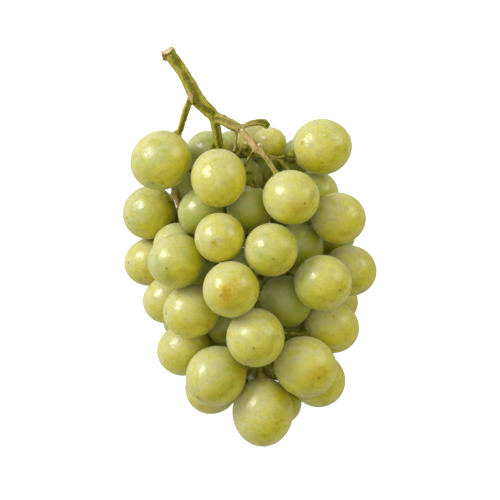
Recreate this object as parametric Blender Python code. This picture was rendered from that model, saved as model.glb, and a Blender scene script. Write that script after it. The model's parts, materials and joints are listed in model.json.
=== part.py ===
"""Bunch of large white table grapes, lying on its back, cut from the vine.

One closed solid for the stem and one for each berry. +X points right, +Y points to the cut end
of the stem and +Z points up. The bunch rests on z = 0, with the middle of its box above the origin.
Lengths below are in millimetres and become metres when the meshes are made.
"""

import heapq
import math

import bmesh
import bpy
import numpy as np
from mathutils import Matrix
from mathutils import Vector

MM = 0.001

# Driving dimensions, in millimetres
BERRY_GAP = 0.35          # air left between two berries
STALK_GAP = 0.45          # air left between a stalk and a berry
STALK_END_GAP = 0.3       # air left between a stalk's end and its own berry
BERRY_LONG = 1.07         # length of a berry over its width
TIP_BERRY_LONG = 1.13     # the same for the one that hangs at the tip
SINK = 0.7                # how far a berry on the table is pressed flat
LEAN = 9.0                # how far up the middle stalk a berry's own stalk aims
LITTLE_STALK_R = 0.85     # radius of the stalk of one berry
STALK_GROWTH = 0.3        # power by which a stalk thickens with the berries it feeds
STALK_END_R = 1.8         # radius of the swollen end that holds a berry
POINT_STEP = 2.8          # spacing of the points along a little stalk

# How freely a berry may be pushed along X, Y and Z while the bunch settles
HELD = (0.03, 0.03, 0.5)
LOOSE = (1.0, 1.0, 1.0)

# Berries: x, y, z of the middle and the width. The bunch settles them from here.
BERRIES = {
    "front": (
        HELD,
        (
            (-12, 27, 50, 22),
            (16.5, 19.5, 53, 21.5),
            (-11.5, 3.5, 54, 19.5),
            (8.5, -1, 55, 21),
            (-28.5, -5.5, 45.5, 21.5),
            (29, -14, 47, 22),
            (-7, -16.5, 58.5, 22),
            (2.5, -35.5, 51, 23),
        ),
    ),
    "shoulder": (
        HELD,
        (
            (-35, 34.5, 38, 23.5),
            (29, 40, 37, 22.5),
        ),
    ),
    "left": (
        HELD,
        (
            (-40.3, 14.2, 17.6, 21.4),
            (-40.6, -6, 9.6, 19.8),
            (-33, -21.4, 20, 19.2),
            (-23, -25.5, 38, 21.5),
            (-25.6, -41.2, 21, 21.3),
        ),
    ),
    "right": (
        HELD,
        (
            (35.3, 11.5, 38.5, 20.5),
            (40.5, -9.5, 25, 20.5),
            (35.5, -22.5, 8, 17.5),
            (33, -32, 27, 21),
            (27.9, -53.9, 17, 22),
        ),
    ),
    "tip": (
        HELD,
        (
            (5.5, -66, 31, 24.5),
            (-13, -51.5, 38, 23.5),
            (22.5, -47.5, 40, 24),
            (-15.2, -57.3, 10, 21.5),
            (13.2, -63.6, 8, 16.8),
        ),
    ),
    "inner": (
        LOOSE,
        (
            (-18.5, 14.5, 36, 19),
            (0, 15, 39, 18.5),
            (27, 21, 26, 18.5),
            (21, 1, 32, 18.5),
            (-29.3, 1.7, 28.2, 17),
            (33.8, 5, 13, 18.3),
            (13, -22, 31, 20),
            (-12, -33, 23, 17),
            (4, -47, 18, 16.5),
            (-26.5, 24, 20.5, 13),
            (6.5, -14, 19.8, 11),
        ),
    ),
    "top": (
        LOOSE,
        (
            (-17.5, 36.5, 22, 18.5),
            (-5.5, 40, 6.5, 15),
            (2.2, 43, 19, 15),
            (8, 41.8, 32, 13),
            (21, 36.5, 13, 17),
            (-2, 28, 23, 14.5),
        ),
    ),
    "back": (
        LOOSE,
        (
            (-31, 35, 8.6, 18.5),
            (-14, 26, 6.3, 14),
            (5.5, 32.3, 7.3, 16),
            (-22, 11, 8.6, 18.5),
            (-2, 9.2, 8.6, 18.5),
            (17, 14, 8.6, 18.5),
            (-20.6, -10, 8.6, 18.5),
            (-1.5, -9.8, 8.6, 18.5),
            (21, -9, 8.6, 18.5),
            (-28, -31, 6.3, 14),
            (-12, -35, 7.1, 15.5),
            (2.5, -26.6, 6.8, 15),
            (19, -32, 8.6, 18.5),
            (13, -50, 5.3, 12),
            (1, -57.5, 5, 11),
        ),
    ),
}

# The woody stalks that give the bunch its form: points with the radius at each
MIDDLE_STALK = (
    (-14.0, 51.6, 42.5, 2.2),
    (-12.8, 46.4, 41.5, 1.9),
    (-12.2, 42, 40, 1.9),
    (-10.5, 36, 37, 1.9),
    (-7, 28, 31.5, 1.9),
    (-3.5, 18, 26.5, 1.9),
    (0, 4, 26.5, 1.7),
    (1.5, -8, 29, 1.6),
    (2.5, -20, 31, 1.5),
    (3, -32, 31, 1.4),
    (3, -40, 31, 1.3),
    (3.5, -46, 31, 1.2),
)
CUT_STALK = (
    (-32.4, 77.8, 41, 3.0),
    (-31.0, 75.9, 41.3, 2.65),
    (-29.0, 73.3, 41.5, 2.4),
    (-25.7, 68.5, 42, 2.45),
    (-23.2, 63.8, 42.5, 2.6),
    (-21.4, 60.2, 43, 3.0),
    (-20.0, 58.1, 43, 2.85),
    (-17.2, 55.3, 43, 2.65),
    (-14.9, 53.1, 42.8, 2.55),
    (-13.4, 50.6, 42.2, 2.2),
)
CUT_HEEL = (
    (-31.0, 75.2, 41.2, 1.9),
    (-32.8, 75.5, 41.1, 1.6),
    (-34.2, 75.6, 41.0, 1.35),
)
LEFT_STALK = (
    (-22.2, 61, 42.8, 1.7),
    (-23.6, 57.5, 42.3, 1.5),
    (-25.3, 53.5, 41.5, 1.4),
    (-26.5, 49.6, 40, 1.3),
    (-27.3, 46.4, 37.5, 1.25),
)
RIGHT_STALK = (
    (-15.2, 52.2, 42.6, 2.0),
    (-10.9, 50.5, 43.5, 2.3),
    (-7.0, 48.4, 45, 2.2),
    (-3.5, 46.7, 46, 1.95),
)
CURLED_STUB = (
    (-4.5, 47.0, 46, 1.1),
    (-1.8, 47.9, 46.3, 1.1),
    (0.5, 48.7, 46.5, 1.15),
    (3.3, 49.3, 46.5, 1.25),
    (6.2, 49.0, 46, 1.55),
    (7.6, 47.7, 45, 1.45),
)
KNOBBLY_STALK = (
    (-4.6, 47.2, 45.8, 1.5),
    (-2.4, 45.2, 46.4, 1.4),
    (0.1, 42.5, 47, 1.35),
    (2.5, 39.7, 47.5, 1.7),
    (4.0, 38.2, 47.5, 1.6),
)
BROKEN_STUB = (
    (3.2, 39.0, 47.5, 1.1),
    (2.2, 37.8, 46.9, 1.0),
    (1.6, 36.9, 46.2, 1.0),
)
UPPER_RIGHT_STALK = (
    (3.4, 38.9, 47.2, 1.3),
    (5.0, 37.6, 45.2, 1.15),
    (8.0, 35.5, 42, 1.1),
    (12.6, 35.1, 38.8, 1.0),
)
FRONT_RIGHT_STALK = (
    (3.4, 38.8, 47.5, 1.3),
    (5.4, 36.8, 47.6, 1.15),
    (7.6, 33.8, 47.6, 1.05),
    (9.4, 31.2, 47.4, 0.95),
    (10.4, 29.4, 46.6, 0.95),
)
PALE_TWIG = (
    (2.4, 38.0, 46.8, 1.0),
    (0.9, 36.4, 45.0, 0.75),
    (-0.4, 34.2, 43.4, 0.65),
    (-1.8, 31.6, 41.8, 0.65),
)
BROWN_TWIG = (
    (-5.0, 47.0, 45.4, 0.9),
    (-5.0, 44.6, 44.0, 0.65),
    (-5.3, 41.4, 42.8, 0.6),
    (-5.9, 37.8, 41.6, 0.6),
)
LEFT_PRONG = (
    (-12.3, 42.6, 40.2, 1.3),
    (-13.6, 40.6, 38.8, 1.15),
    (-15.0, 38.0, 36.6, 1.05),
)
LEFT_TWIG = (
    (-4.0, 18.8, 26.8, 1.3),
    (-10, 16.5, 23, 1.2),
    (-19.5, 14.5, 21.5, 1.1),
    (-26, 12.8, 22, 1.0),
    (-28.3, 16.5, 24.3, 0.95),
    (-29.6, 20, 25.3, 1.0),
    (-30.4, 22.4, 25.2, 1.5),
)
DEEP_TWIG = (
    (-6.6, 27.2, 31.0, 1.2),
    (-2.2, 29.6, 35.0, 0.95),
    (1.2, 29.6, 39.4, 0.7),
    (2.6, 27.8, 42.4, 0.6),
    (2.9, 25.4, 43.4, 0.6),
)
GUIDED_STALKS = (
    MIDDLE_STALK,
    CUT_STALK,
    CUT_HEEL,
    LEFT_STALK,
    RIGHT_STALK,
    CURLED_STUB,
    KNOBBLY_STALK,
    BROKEN_STUB,
    UPPER_RIGHT_STALK,
    FRONT_RIGHT_STALK,
    PALE_TWIG,
    BROWN_TWIG,
    LEFT_PRONG,
    LEFT_TWIG,
    DEEP_TWIG,
)
FEEDING_STALKS = (
    MIDDLE_STALK[1:],
    LEFT_STALK[-2:],
    UPPER_RIGHT_STALK[1:],
    FRONT_RIGHT_STALK[-2:],
    LEFT_PRONG[-2:],
    LEFT_TWIG[2:],
    DEEP_TWIG[-2:],
)

# The berries that hang from the end of a guided stalk, with the point that each hangs from
HANGING = {
    "inner_berry_02": DEEP_TWIG[-1][:3],
    "left_berry_01": LEFT_TWIG[-1][:3],
}

# Search grid for the little stalks
CELL = 1.3                # spacing of the grid
CLEARANCE = 1.2           # least distance of a stalk's middle line from any berry
REACH = 5.5               # a stalk stays this close to some berry, so inside the bunch
END_REACH = 3.0           # a stalk ends this close to its own berry
END_CONE = -0.6           # and behind it: the cosine from the berry's axis

# Colours: red, green, blue
BERRY_COLOR = (0.55, 0.56, 0.16, 1)
STEM_COLOR = (0.36, 0.34, 0.09, 1)


def clear_scene():
    for obj in list(bpy.data.objects):
        bpy.data.objects.remove(obj, do_unlink=True)


def make_collection(name):
    collection = bpy.data.collections.new(name)
    bpy.context.scene.collection.children.link(collection)
    return collection


def make_material(name, color, roughness):
    material = bpy.data.materials.new(name)
    material.use_nodes = True
    shader = material.node_tree.nodes["Principled BSDF"]
    shader.inputs["Base Color"].default_value = color
    shader.inputs["Roughness"].default_value = roughness
    shader.inputs["Metallic"].default_value = 0.0
    return material


# Berries ---------------------------------------------------------------------------------------


class Bunch:
    """All berries as ellipsoids: middle, half width, half length, axis and freedom of each."""

    def __init__(self, groups):
        self.names = []
        rows = []
        freedom = []
        for group, (free, berries) in groups.items():
            for number, row in enumerate(berries, start=1):
                self.names.append(f"{group}_berry_{number:02d}")
                rows.append(row)
                freedom.append(free)
        table = np.array(rows, dtype=float)
        self.middle = table[:, :3]
        self.half_width = table[:, 3] / 2
        longer = np.array([TIP_BERRY_LONG if n == "tip_berry_01" else BERRY_LONG for n in self.names])
        self.half_length = self.half_width * longer
        self.freedom = np.array(freedom)
        self.axis = self.outward_axes()

    def outward_axes(self):
        """Each berry points away from the middle stalk and a little towards the tip."""
        line = np.array(MIDDLE_STALK)[:, :3]
        axes = np.zeros_like(self.middle)
        for index, point in enumerate(self.middle):
            held_at = nearest_on_line(point, line) + np.array((0, LEAN, 0))
            away = point - np.array(HANGING.get(self.names[index], held_at))
            axes[index] = away / np.linalg.norm(away)
        return axes

    def radius_towards(self, index, direction):
        """Distance from a berry's middle to its skin along a unit direction."""
        along = np.sum(self.axis[index] * direction, axis=-1)
        across = 1 - along**2
        return 1 / np.sqrt(across / self.half_width[index] ** 2 + along**2 / self.half_length[index] ** 2)

    def half_height(self):
        along = self.axis[:, 2] ** 2
        return np.sqrt(self.half_width**2 * (1 - along) + self.half_length**2 * along)


def nearest_on_line(point, line):
    best = None
    for start, end in zip(line[:-1], line[1:]):
        span = end - start
        share = min(1.0, max(0.0, float(np.dot(point - start, span) / np.dot(span, span))))
        foot = start + share * span
        if best is None or np.linalg.norm(point - foot) < np.linalg.norm(point - best):
            best = foot
    return best


def stalk_pieces():
    """Straight pieces of the guided stalks, each as start, end and radius."""
    pieces = []
    for stalk in GUIDED_STALKS:
        for start, end in zip(stalk[:-1], stalk[1:]):
            pieces.append((np.array(start[:3]), np.array(end[:3]), max(start[3], end[3])))
    return pieces


def push_from_berries(bunch, first, second, push):
    """Adds the pushes that part each pair of berries that is too close."""
    apart = bunch.middle[second] - bunch.middle[first]
    distance = np.linalg.norm(apart, axis=1)
    direction = apart / distance[:, None]
    need = bunch.radius_towards(first, direction) + bunch.radius_towards(second, direction) + BERRY_GAP
    close = need > distance
    first = first[close]
    second = second[close]
    direction = direction[close]
    give_first = np.sum(direction**2 * bunch.freedom[first], axis=1)
    give_second = np.sum(direction**2 * bunch.freedom[second], axis=1)
    share = (0.5 * (need - distance)[close] / (give_first + give_second))[:, None]
    np.add.at(push, first, -direction * bunch.freedom[first] * share)
    np.add.at(push, second, direction * bunch.freedom[second] * share)


def push_from_stalk(bunch, start, end, radius, push):
    """Adds the pushes that keep every berry off one straight piece of stalk."""
    span = end - start
    share = np.clip((bunch.middle - start) @ span / np.dot(span, span), 0, 1)
    away = bunch.middle - (start + share[:, None] * span)
    distance = np.linalg.norm(away, axis=1)
    direction = away / distance[:, None]
    everyone = np.arange(len(distance))
    short = bunch.radius_towards(everyone, direction) + radius + STALK_GAP - distance
    give = np.sum(direction**2 * bunch.freedom, axis=1)
    step = direction * bunch.freedom * (0.5 * short / give)[:, None]
    push += np.where((short > 0)[:, None], step, 0)


def settle(bunch, rounds=600, pull=0.01):
    """Moves the berries apart until none overlap, and sets the lowest ones on the table."""
    start = bunch.middle.copy()
    first, second = np.triu_indices(len(start), 1)
    pieces = stalk_pieces()
    for turn in range(rounds):
        push = np.zeros_like(start)
        push_from_berries(bunch, first, second, push)
        for piece in pieces:
            push_from_stalk(bunch, *piece, push)
        if turn < rounds * 0.7:
            push += pull * (start - bunch.middle) * bunch.freedom
        bunch.middle = bunch.middle + push
        floor = bunch.half_height() - SINK
        bunch.middle[:, 2] = np.maximum(bunch.middle[:, 2], floor)


def berry_frame(axis):
    """Rotation that turns +Z onto the berry's axis."""
    return Vector(axis).to_track_quat("Z", "Y").to_matrix().to_4x4()


def make_berry(name, middle, half_width, half_length, axis, collection):
    """An egg-round berry, pressed flat where it lies on the table."""
    on_table = middle[2] - half_length < 0
    segments = 12 if on_table else 10
    rings = 8 if on_table else 7
    mesh = bpy.data.meshes.new(name)
    shape = bmesh.new()
    bmesh.ops.create_uvsphere(shape, u_segments=segments, v_segments=rings, radius=1.0)
    size = Matrix.Diagonal((half_width * MM, half_width * MM, half_length * MM, 1))
    place = Matrix.Translation(Vector(middle) * MM) @ berry_frame(axis) @ size
    bmesh.ops.transform(shape, matrix=place, verts=shape.verts)
    if min(vert.co.z for vert in shape.verts) < 0:
        everything = shape.verts[:] + shape.edges[:] + shape.faces[:]
        cut = bmesh.ops.bisect_plane(
            shape, geom=everything, dist=1e-7, plane_co=(0, 0, 0), plane_no=(0, 0, 1), clear_inner=True
        )
        rim = [item for item in cut["geom_cut"] if isinstance(item, bmesh.types.BMEdge)]
        bmesh.ops.contextual_create(shape, geom=rim)
    bmesh.ops.recalc_face_normals(shape, faces=shape.faces)
    shape.to_mesh(mesh)
    shape.free()
    mesh.shade_smooth()
    mesh.materials.append(make_material(name, BERRY_COLOR, 0.35))
    berry = bpy.data.objects.new(name, mesh)
    collection.objects.link(berry)
    return berry


# Little stalks ---------------------------------------------------------------------------------


def distance_grid(bunch):
    """The grid's corner and the distance of each grid point from the nearest berry skin."""
    corner = bunch.middle.min(axis=0) - 8
    corner[2] = 1.5
    counts = np.ceil((bunch.middle.max(axis=0) + 8 - corner) / CELL).astype(int) + 1
    ticks = [corner[k] + CELL * np.arange(counts[k]) for k in range(3)]
    points = np.stack(np.meshgrid(*ticks, indexing="ij"), axis=-1)
    distance = np.full(points.shape[:3], np.inf)
    for index, middle in enumerate(bunch.middle):
        away = points - middle
        length = np.linalg.norm(away, axis=-1) + 1e-9
        skin = bunch.radius_towards(index, away / length[..., None])
        distance = np.minimum(distance, length - skin)
    return corner, distance


def feeding_points():
    """Points about a millimetre apart along the stalks that little stalks may grow from."""
    points = []
    for stalk in FEEDING_STALKS:
        line = np.array(stalk)[:, :3]
        for start, end in zip(line[:-1], line[1:]):
            count = max(1, int(np.linalg.norm(end - start)))
            points.extend(start + (end - start) * k / count for k in range(count))
    return points


def grow_ways(corner, distance):
    """Cheapest way from the feeding stalks to each free grid point, which keeps off the berries."""
    limits = distance.shape
    free = (distance >= CLEARANCE) & (distance < REACH)
    cost = {}
    came_from = {}
    root = {}
    queue = []
    for point in feeding_points():
        cell = tuple(int(v) for v in np.round((point - corner) / CELL))
        inside = all(0 <= cell[k] < limits[k] for k in range(3))
        if inside and cell not in cost:
            cost[cell] = 0.0
            came_from[cell] = None
            root[cell] = point
            heapq.heappush(queue, (0.0, cell))
    near = range(-1, 2)
    steps = [(i, j, k) for i in near for j in near for k in near if (i, j, k) != (0, 0, 0)]
    done = set()
    while queue:
        so_far, cell = heapq.heappop(queue)
        if cell in done:
            continue
        done.add(cell)
        for step in steps:
            following = (cell[0] + step[0], cell[1] + step[1], cell[2] + step[2])
            if min(following) < 0 or any(following[k] >= limits[k] for k in range(3)):
                continue
            if not free[following]:
                continue
            tightness = 1 + 0.6 / max(0.3, distance[following] - 0.6)
            new_cost = so_far + CELL * math.sqrt(sum(v * v for v in step)) * tightness
            if new_cost < cost.get(following, math.inf):
                cost[following] = new_cost
                came_from[following] = cell
                heapq.heappush(queue, (new_cost, following))
    return cost, came_from, root


def end_cell(bunch, index, corner, cost):
    """The grid point behind a berry where its little stalk ends."""
    middle = bunch.middle[index]
    reach = bunch.half_length[index] + END_REACH
    low = np.floor((middle - reach - corner) / CELL).astype(int)
    high = np.ceil((middle + reach - corner) / CELL).astype(int)
    best = None
    for cell in np.ndindex(*(high - low + 1)):
        cell = tuple(int(v) for v in low + np.array(cell))
        if cell not in cost:
            continue
        away = corner + CELL * np.array(cell) - middle
        length = float(np.linalg.norm(away))
        direction = away / length
        off_skin = length - float(bunch.radius_towards(index, direction))
        along = float(np.dot(bunch.axis[index], direction))
        if off_skin > END_REACH or along > END_CONE:
            continue
        score = cost[cell] + 6 * (1 + along) + 0.5 * off_skin
        if best is None or score < best[0]:
            best = (score, cell)
    if best is None:
        raise RuntimeError(f"no room for the stalk of {bunch.names[index]}")
    return best[1]


class StalkTree:
    """The little stalks as a tree of points that all lead back to the feeding stalks."""

    def __init__(self, bunch):
        corner, distance = distance_grid(bunch)
        cost, came_from, root = grow_ways(corner, distance)
        self.place = {}
        self.parent = {}
        self.children = {}
        self.fed = {}
        self.ends = []
        for index in range(len(bunch.names)):
            cell = end_cell(bunch, index, corner, cost)
            self.ends.append(cell)
            while cell is not None:
                self.fed[cell] = self.fed.get(cell, 0) + 1
                before = came_from[cell]
                self.parent[cell] = before
                self.place[cell] = root.get(cell, corner + CELL * np.array(cell))
                if before is not None:
                    self.children.setdefault(before, set()).add(cell)
                cell = before
        self.fixed = set(root)

    def smooth(self, bunch, rounds=60):
        """Rounds the ways off and keeps them clear of the berries."""
        moving = [cell for cell in sorted(self.place) if cell not in self.fixed]
        for _ in range(rounds):
            for cell in moving:
                around = [self.place[self.parent[cell]]]
                around.extend(self.place[child] for child in sorted(self.children.get(cell, ())))
                if len(around) > 1:
                    middle = (around[0] + sum(around[1:]) / (len(around) - 1)) / 2
                    self.place[cell] = 0.5 * self.place[cell] + 0.5 * middle
            spots = np.array([self.place[cell] for cell in moving])
            reach = np.array([self.radius(cell) for cell in moving]) + STALK_GAP
            for index, middle in enumerate(bunch.middle):
                away = spots - middle
                length = np.linalg.norm(away, axis=1)
                direction = away / length[:, None]
                short = bunch.radius_towards(index, direction) + reach - length
                spots += direction * np.maximum(short, 0)[:, None]
            for cell, spot in zip(moving, spots):
                self.place[cell] = spot

    def radius(self, cell):
        return LITTLE_STALK_R * self.fed[cell] ** STALK_GROWTH

    def ways(self):
        """One way per berry: it leaves a thicker way, or a feeding stalk, and ends at the berry."""
        taken = set()
        order = sorted(range(len(self.ends)), key=lambda i: (-self.depth(self.ends[i]), i))
        ways = {}
        for index in order:
            cell = self.ends[index]
            way = [cell]
            while cell not in taken and self.parent[cell] is not None:
                taken.add(cell)
                cell = self.parent[cell]
                way.append(cell)
            taken.add(cell)
            ways[index] = way[::-1]
        return ways

    def depth(self, cell):
        """How many berries the points on the way to here feed, added up."""
        total = 0
        while cell is not None:
            total += self.fed[cell]
            cell = self.parent[cell]
        return total


def little_stalks(bunch):
    """Points with a radius for the little stalk of each berry."""
    tree = StalkTree(bunch)
    tree.smooth(bunch)
    stalks = []
    for index, way in sorted(tree.ways().items()):
        places = [tree.place[cell] for cell in way]
        radii = [tree.radius(cell) for cell in way]
        keep = [0]
        for spot in range(1, len(way) - 1):
            if np.linalg.norm(places[spot] - places[keep[-1]]) < POINT_STEP:
                continue
            if np.linalg.norm(places[spot] - places[-1]) > POINT_STEP * 0.6:
                keep.append(spot)
        if len(way) > 1:
            keep.append(len(way) - 1)
            radii[0] = radii[1]
        line = [(*places[k], radii[k]) for k in keep]
        line.extend(swollen_end(bunch, index, places[-1]))
        stalks.append(line)
    return stalks


def swollen_end(bunch, index, last):
    """The last points of a little stalk: it widens and stops just short of its berry."""
    away = last - bunch.middle[index]
    length = np.linalg.norm(away)
    direction = away / length
    skin = float(bunch.radius_towards(index, direction)) + STALK_END_GAP
    room = length - skin
    points = []
    for share, radius in ((0.45, LITTLE_STALK_R * 1.2), (0.8, STALK_END_R * 0.95), (1.0, STALK_END_R)):
        spot = bunch.middle[index] + direction * (length - share * room)
        points.append((*spot, radius))
    return points


# Stem ------------------------------------------------------------------------------------------


def tube(points, resolution, collection):
    """A closed tube with a radius at each of its points, as a mesh object."""
    curve = bpy.data.curves.new("stalk", "CURVE")
    curve.dimensions = "3D"
    curve.bevel_depth = MM
    curve.bevel_resolution = resolution
    curve.use_fill_caps = True
    spline = curve.splines.new("POLY")
    spline.points.add(len(points) - 1)
    for point, (x, y, z, radius) in zip(spline.points, points):
        point.co = (x * MM, y * MM, z * MM, 1)
        point.radius = radius
    guide = bpy.data.objects.new("stalk_curve", curve)
    collection.objects.link(guide)
    bpy.context.view_layer.update()
    evaluated = guide.evaluated_get(bpy.context.evaluated_depsgraph_get())
    mesh = bpy.data.meshes.new_from_object(evaluated)
    shape = bmesh.new()
    shape.from_mesh(mesh)
    bmesh.ops.remove_doubles(shape, verts=shape.verts, dist=1e-6)
    bmesh.ops.recalc_face_normals(shape, faces=shape.faces)
    shape.to_mesh(mesh)
    shape.free()
    piece = bpy.data.objects.new("stalk_tube", mesh)
    piece.matrix_world = guide.matrix_world
    collection.objects.link(piece)
    bpy.data.objects.remove(guide, do_unlink=True)
    return piece


def fuse(body, piece):
    """Joins a tube to the stem, so that both are one solid."""
    union = body.modifiers.new("join", "BOOLEAN")
    union.operation = "UNION"
    union.solver = "EXACT"
    union.use_self = True
    union.object = piece
    bpy.context.view_layer.update()
    evaluated = body.evaluated_get(bpy.context.evaluated_depsgraph_get())
    mesh = bpy.data.meshes.new_from_object(evaluated)
    body.modifiers.remove(union)
    body.data = mesh
    bpy.data.objects.remove(piece, do_unlink=True)


def make_stem(bunch, collection):
    """The whole stem as one solid: the guided stalks and a little stalk for each berry."""
    stem = tube(GUIDED_STALKS[0], 2, collection)
    stem.name = "stem"
    for points in GUIDED_STALKS[1:]:
        fuse(stem, tube(points, 2, collection))
    for points in little_stalks(bunch):
        fuse(stem, tube(points, 1, collection))
    stem.data.name = "stem"
    stem.data.materials.clear()
    stem.data.materials.append(make_material("stem", STEM_COLOR, 0.6))
    stem.data.shade_smooth()
    stem.data.set_sharp_from_angle(angle=math.radians(40))
    return stem


def centre_on_origin(objects):
    """Moves the meshes so that the middle of the whole box stands above the origin."""
    corners = np.array([vert.co for obj in objects for vert in obj.data.vertices])
    middle = (corners.min(axis=0) + corners.max(axis=0)) / 2
    shift = Matrix.Translation((-middle[0], -middle[1], 0))
    for obj in objects:
        obj.data.transform(shift)


def main():
    clear_scene()
    collection = make_collection("bunch_of_grapes")
    bunch = Bunch(BERRIES)
    settle(bunch)
    parts = [make_stem(bunch, collection)]
    for index, name in enumerate(bunch.names):
        parts.append(
            make_berry(
                name,
                bunch.middle[index],
                bunch.half_width[index],
                bunch.half_length[index],
                bunch.axis[index],
                collection,
            )
        )
    centre_on_origin(parts)


main()
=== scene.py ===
"""The looks of the bunch of grapes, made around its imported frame.

The file is laid out as an add-on and is run as a script: main() calls one operator for each group of
berries, one for the stem and one for the stage. Everything is in metres, in the frame's own axes: +X
right, +Y to the cut end of the stem and +Z up from the surface that the bunch lies on.
"""

import json
import math

import bmesh
import bpy
import numpy as np
from bpy.props import FloatProperty
from bpy.props import FloatVectorProperty
from bpy.props import IntProperty
from bpy.props import PointerProperty
from mathutils import Matrix
from mathutils import Vector

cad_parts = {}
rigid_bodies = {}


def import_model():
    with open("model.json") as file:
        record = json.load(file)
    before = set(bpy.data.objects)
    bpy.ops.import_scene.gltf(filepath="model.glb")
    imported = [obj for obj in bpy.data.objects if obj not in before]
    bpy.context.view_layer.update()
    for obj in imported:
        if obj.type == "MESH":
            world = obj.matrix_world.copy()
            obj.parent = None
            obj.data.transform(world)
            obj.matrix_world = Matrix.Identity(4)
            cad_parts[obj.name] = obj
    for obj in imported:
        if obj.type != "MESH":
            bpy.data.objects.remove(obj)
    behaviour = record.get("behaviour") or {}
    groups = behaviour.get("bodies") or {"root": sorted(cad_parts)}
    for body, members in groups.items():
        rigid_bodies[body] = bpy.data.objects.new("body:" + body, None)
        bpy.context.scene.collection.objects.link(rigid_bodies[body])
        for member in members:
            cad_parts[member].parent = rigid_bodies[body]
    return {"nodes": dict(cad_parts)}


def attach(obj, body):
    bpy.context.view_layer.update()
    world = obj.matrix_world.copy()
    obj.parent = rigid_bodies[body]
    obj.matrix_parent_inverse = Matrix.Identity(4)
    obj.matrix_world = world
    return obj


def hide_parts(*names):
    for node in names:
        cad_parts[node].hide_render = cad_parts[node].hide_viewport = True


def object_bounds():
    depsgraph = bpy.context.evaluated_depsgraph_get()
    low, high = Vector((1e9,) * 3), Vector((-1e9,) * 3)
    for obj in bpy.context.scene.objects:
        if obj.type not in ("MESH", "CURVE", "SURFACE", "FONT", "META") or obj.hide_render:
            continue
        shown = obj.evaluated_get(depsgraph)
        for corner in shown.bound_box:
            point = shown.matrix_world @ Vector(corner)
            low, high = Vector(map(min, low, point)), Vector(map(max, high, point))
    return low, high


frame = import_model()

bl_info = {
    "name": "Bunch of grapes",
    "version": (1, 0, 0),
    "blender": (4, 5, 0),
    "location": "View3D > Sidebar > Grapes",
    "description": "Berries, stem and stage for a bunch of white table grapes",
    "category": "Add Mesh",
}

CAD_BOX = [list(corner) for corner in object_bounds()]
BODY = "root"
MM = 0.001
FLOOR_SIZE = 6.0
FLOOR_SHADE = (0.58, 0.58, 0.58, 1)
LIGHT_DISTANCE = 1.4
KEY_TOWARDS = (-0.72, 0.46, 0.50)
KEY_SIZE = 0.62
FILL_TOWARDS = (0.80, 0.44, 0.36)
FILL_SIZE = 0.9
SENSOR_WIDTH = 36

# How far the camera stands from over the middle of the frame's box, and the height that the lights face
CAMERA_ASIDE = (0.46 * MM, -1.0 * MM)
LIT_HEIGHT = 0.03

# How many splinters stand out of the cut end
FIBRES = 9

# The side of a berry, up and towards the key light on the left, where the pale wax is painted thickest: a
# painted haze of highlight over the real wax
PAINTED_HAZE_SIDE = (-0.60, 0.62, 0.35)

# Middle lines of the stalks that show: x, y, z and the radius, in millimetres
CUT_STALK = (
    (-32.3, 78.0, 41.0, 3.0),
    (-30.9, 76.1, 41.3, 2.65),
    (-28.9, 73.5, 41.5, 2.4),
    (-25.6, 68.7, 42.0, 2.45),
    (-23.1, 64.0, 42.5, 2.6),
    (-21.3, 60.4, 43.0, 3.0),
    (-19.9, 58.3, 43.0, 2.85),
    (-17.1, 55.5, 43.0, 2.65),
    (-14.8, 53.3, 42.8, 2.55),
    (-13.3, 50.8, 42.2, 2.2),
)
CUT_HEEL = (
    (-32.7, 75.7, 41.1, 1.6),
    (-34.1, 75.8, 41.0, 1.35),
)
MIDDLE_STALK = (
    (-13.1, 49.0, 41.9, 1.9),
    (-12.7, 46.6, 41.5, 1.9),
    (-12.1, 42.2, 40.0, 1.9),
    (-10.4, 36.2, 37.0, 1.9),
    (-6.9, 28.2, 31.5, 1.9),
    (-3.4, 18.2, 26.5, 1.9),
    (0.1, 4.2, 26.5, 1.7),
    (1.6, -7.8, 29.0, 1.6),
    (2.6, -19.8, 31.0, 1.5),
    (3.1, -31.8, 31.0, 1.4),
    (3.6, -45.8, 31.0, 1.2),
)
LEFT_STALK = (
    (-22.1, 61.2, 42.8, 1.7),
    (-23.5, 57.7, 42.3, 1.5),
    (-25.2, 53.7, 41.5, 1.4),
    (-26.4, 49.8, 40.0, 1.3),
    (-27.2, 46.6, 37.5, 1.25),
)
RIGHT_STALK = (
    (-12.9, 51.3, 43.0, 2.0),
    (-10.8, 50.7, 43.5, 2.3),
    (-6.9, 48.6, 45.0, 2.2),
    (-3.4, 46.9, 46.0, 1.95),
)
CURLED_STUB = (
    (-1.7, 48.1, 46.3, 1.1),
    (0.6, 48.9, 46.5, 1.15),
    (3.4, 49.5, 46.5, 1.25),
    (6.3, 49.2, 46.0, 1.55),
    (7.7, 47.9, 45.0, 1.45),
)
KNOBBLY_STALK = (
    (-3.4, 46.2, 46.2, 1.45),
    (-2.3, 45.4, 46.4, 1.4),
    (0.2, 42.7, 47.0, 1.35),
    (2.6, 39.9, 47.5, 1.7),
    (4.1, 38.4, 47.5, 1.6),
)
UPPER_RIGHT_STALK = (
    (5.1, 37.8, 45.2, 1.15),
    (8.1, 35.7, 42.0, 1.1),
    (12.7, 35.3, 38.8, 1.0),
)
FRONT_RIGHT_STALK = (
    (4.3, 38.2, 47.6, 1.25),
    (5.5, 37.0, 47.6, 1.15),
    (7.7, 34.0, 47.6, 1.05),
    (9.5, 31.4, 47.4, 0.95),
    (10.5, 29.6, 46.6, 0.95),
)
PALE_TWIG = (
    (1.9, 37.4, 46.0, 0.9),
    (1.0, 36.6, 45.0, 0.75),
    (-0.3, 34.4, 43.4, 0.65),
    (-1.7, 31.8, 41.8, 0.65),
)
BROWN_TWIG = (
    (-4.9, 44.8, 44.0, 0.65),
    (-5.2, 41.6, 42.8, 0.6),
    (-5.8, 38.0, 41.6, 0.6),
)
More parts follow.
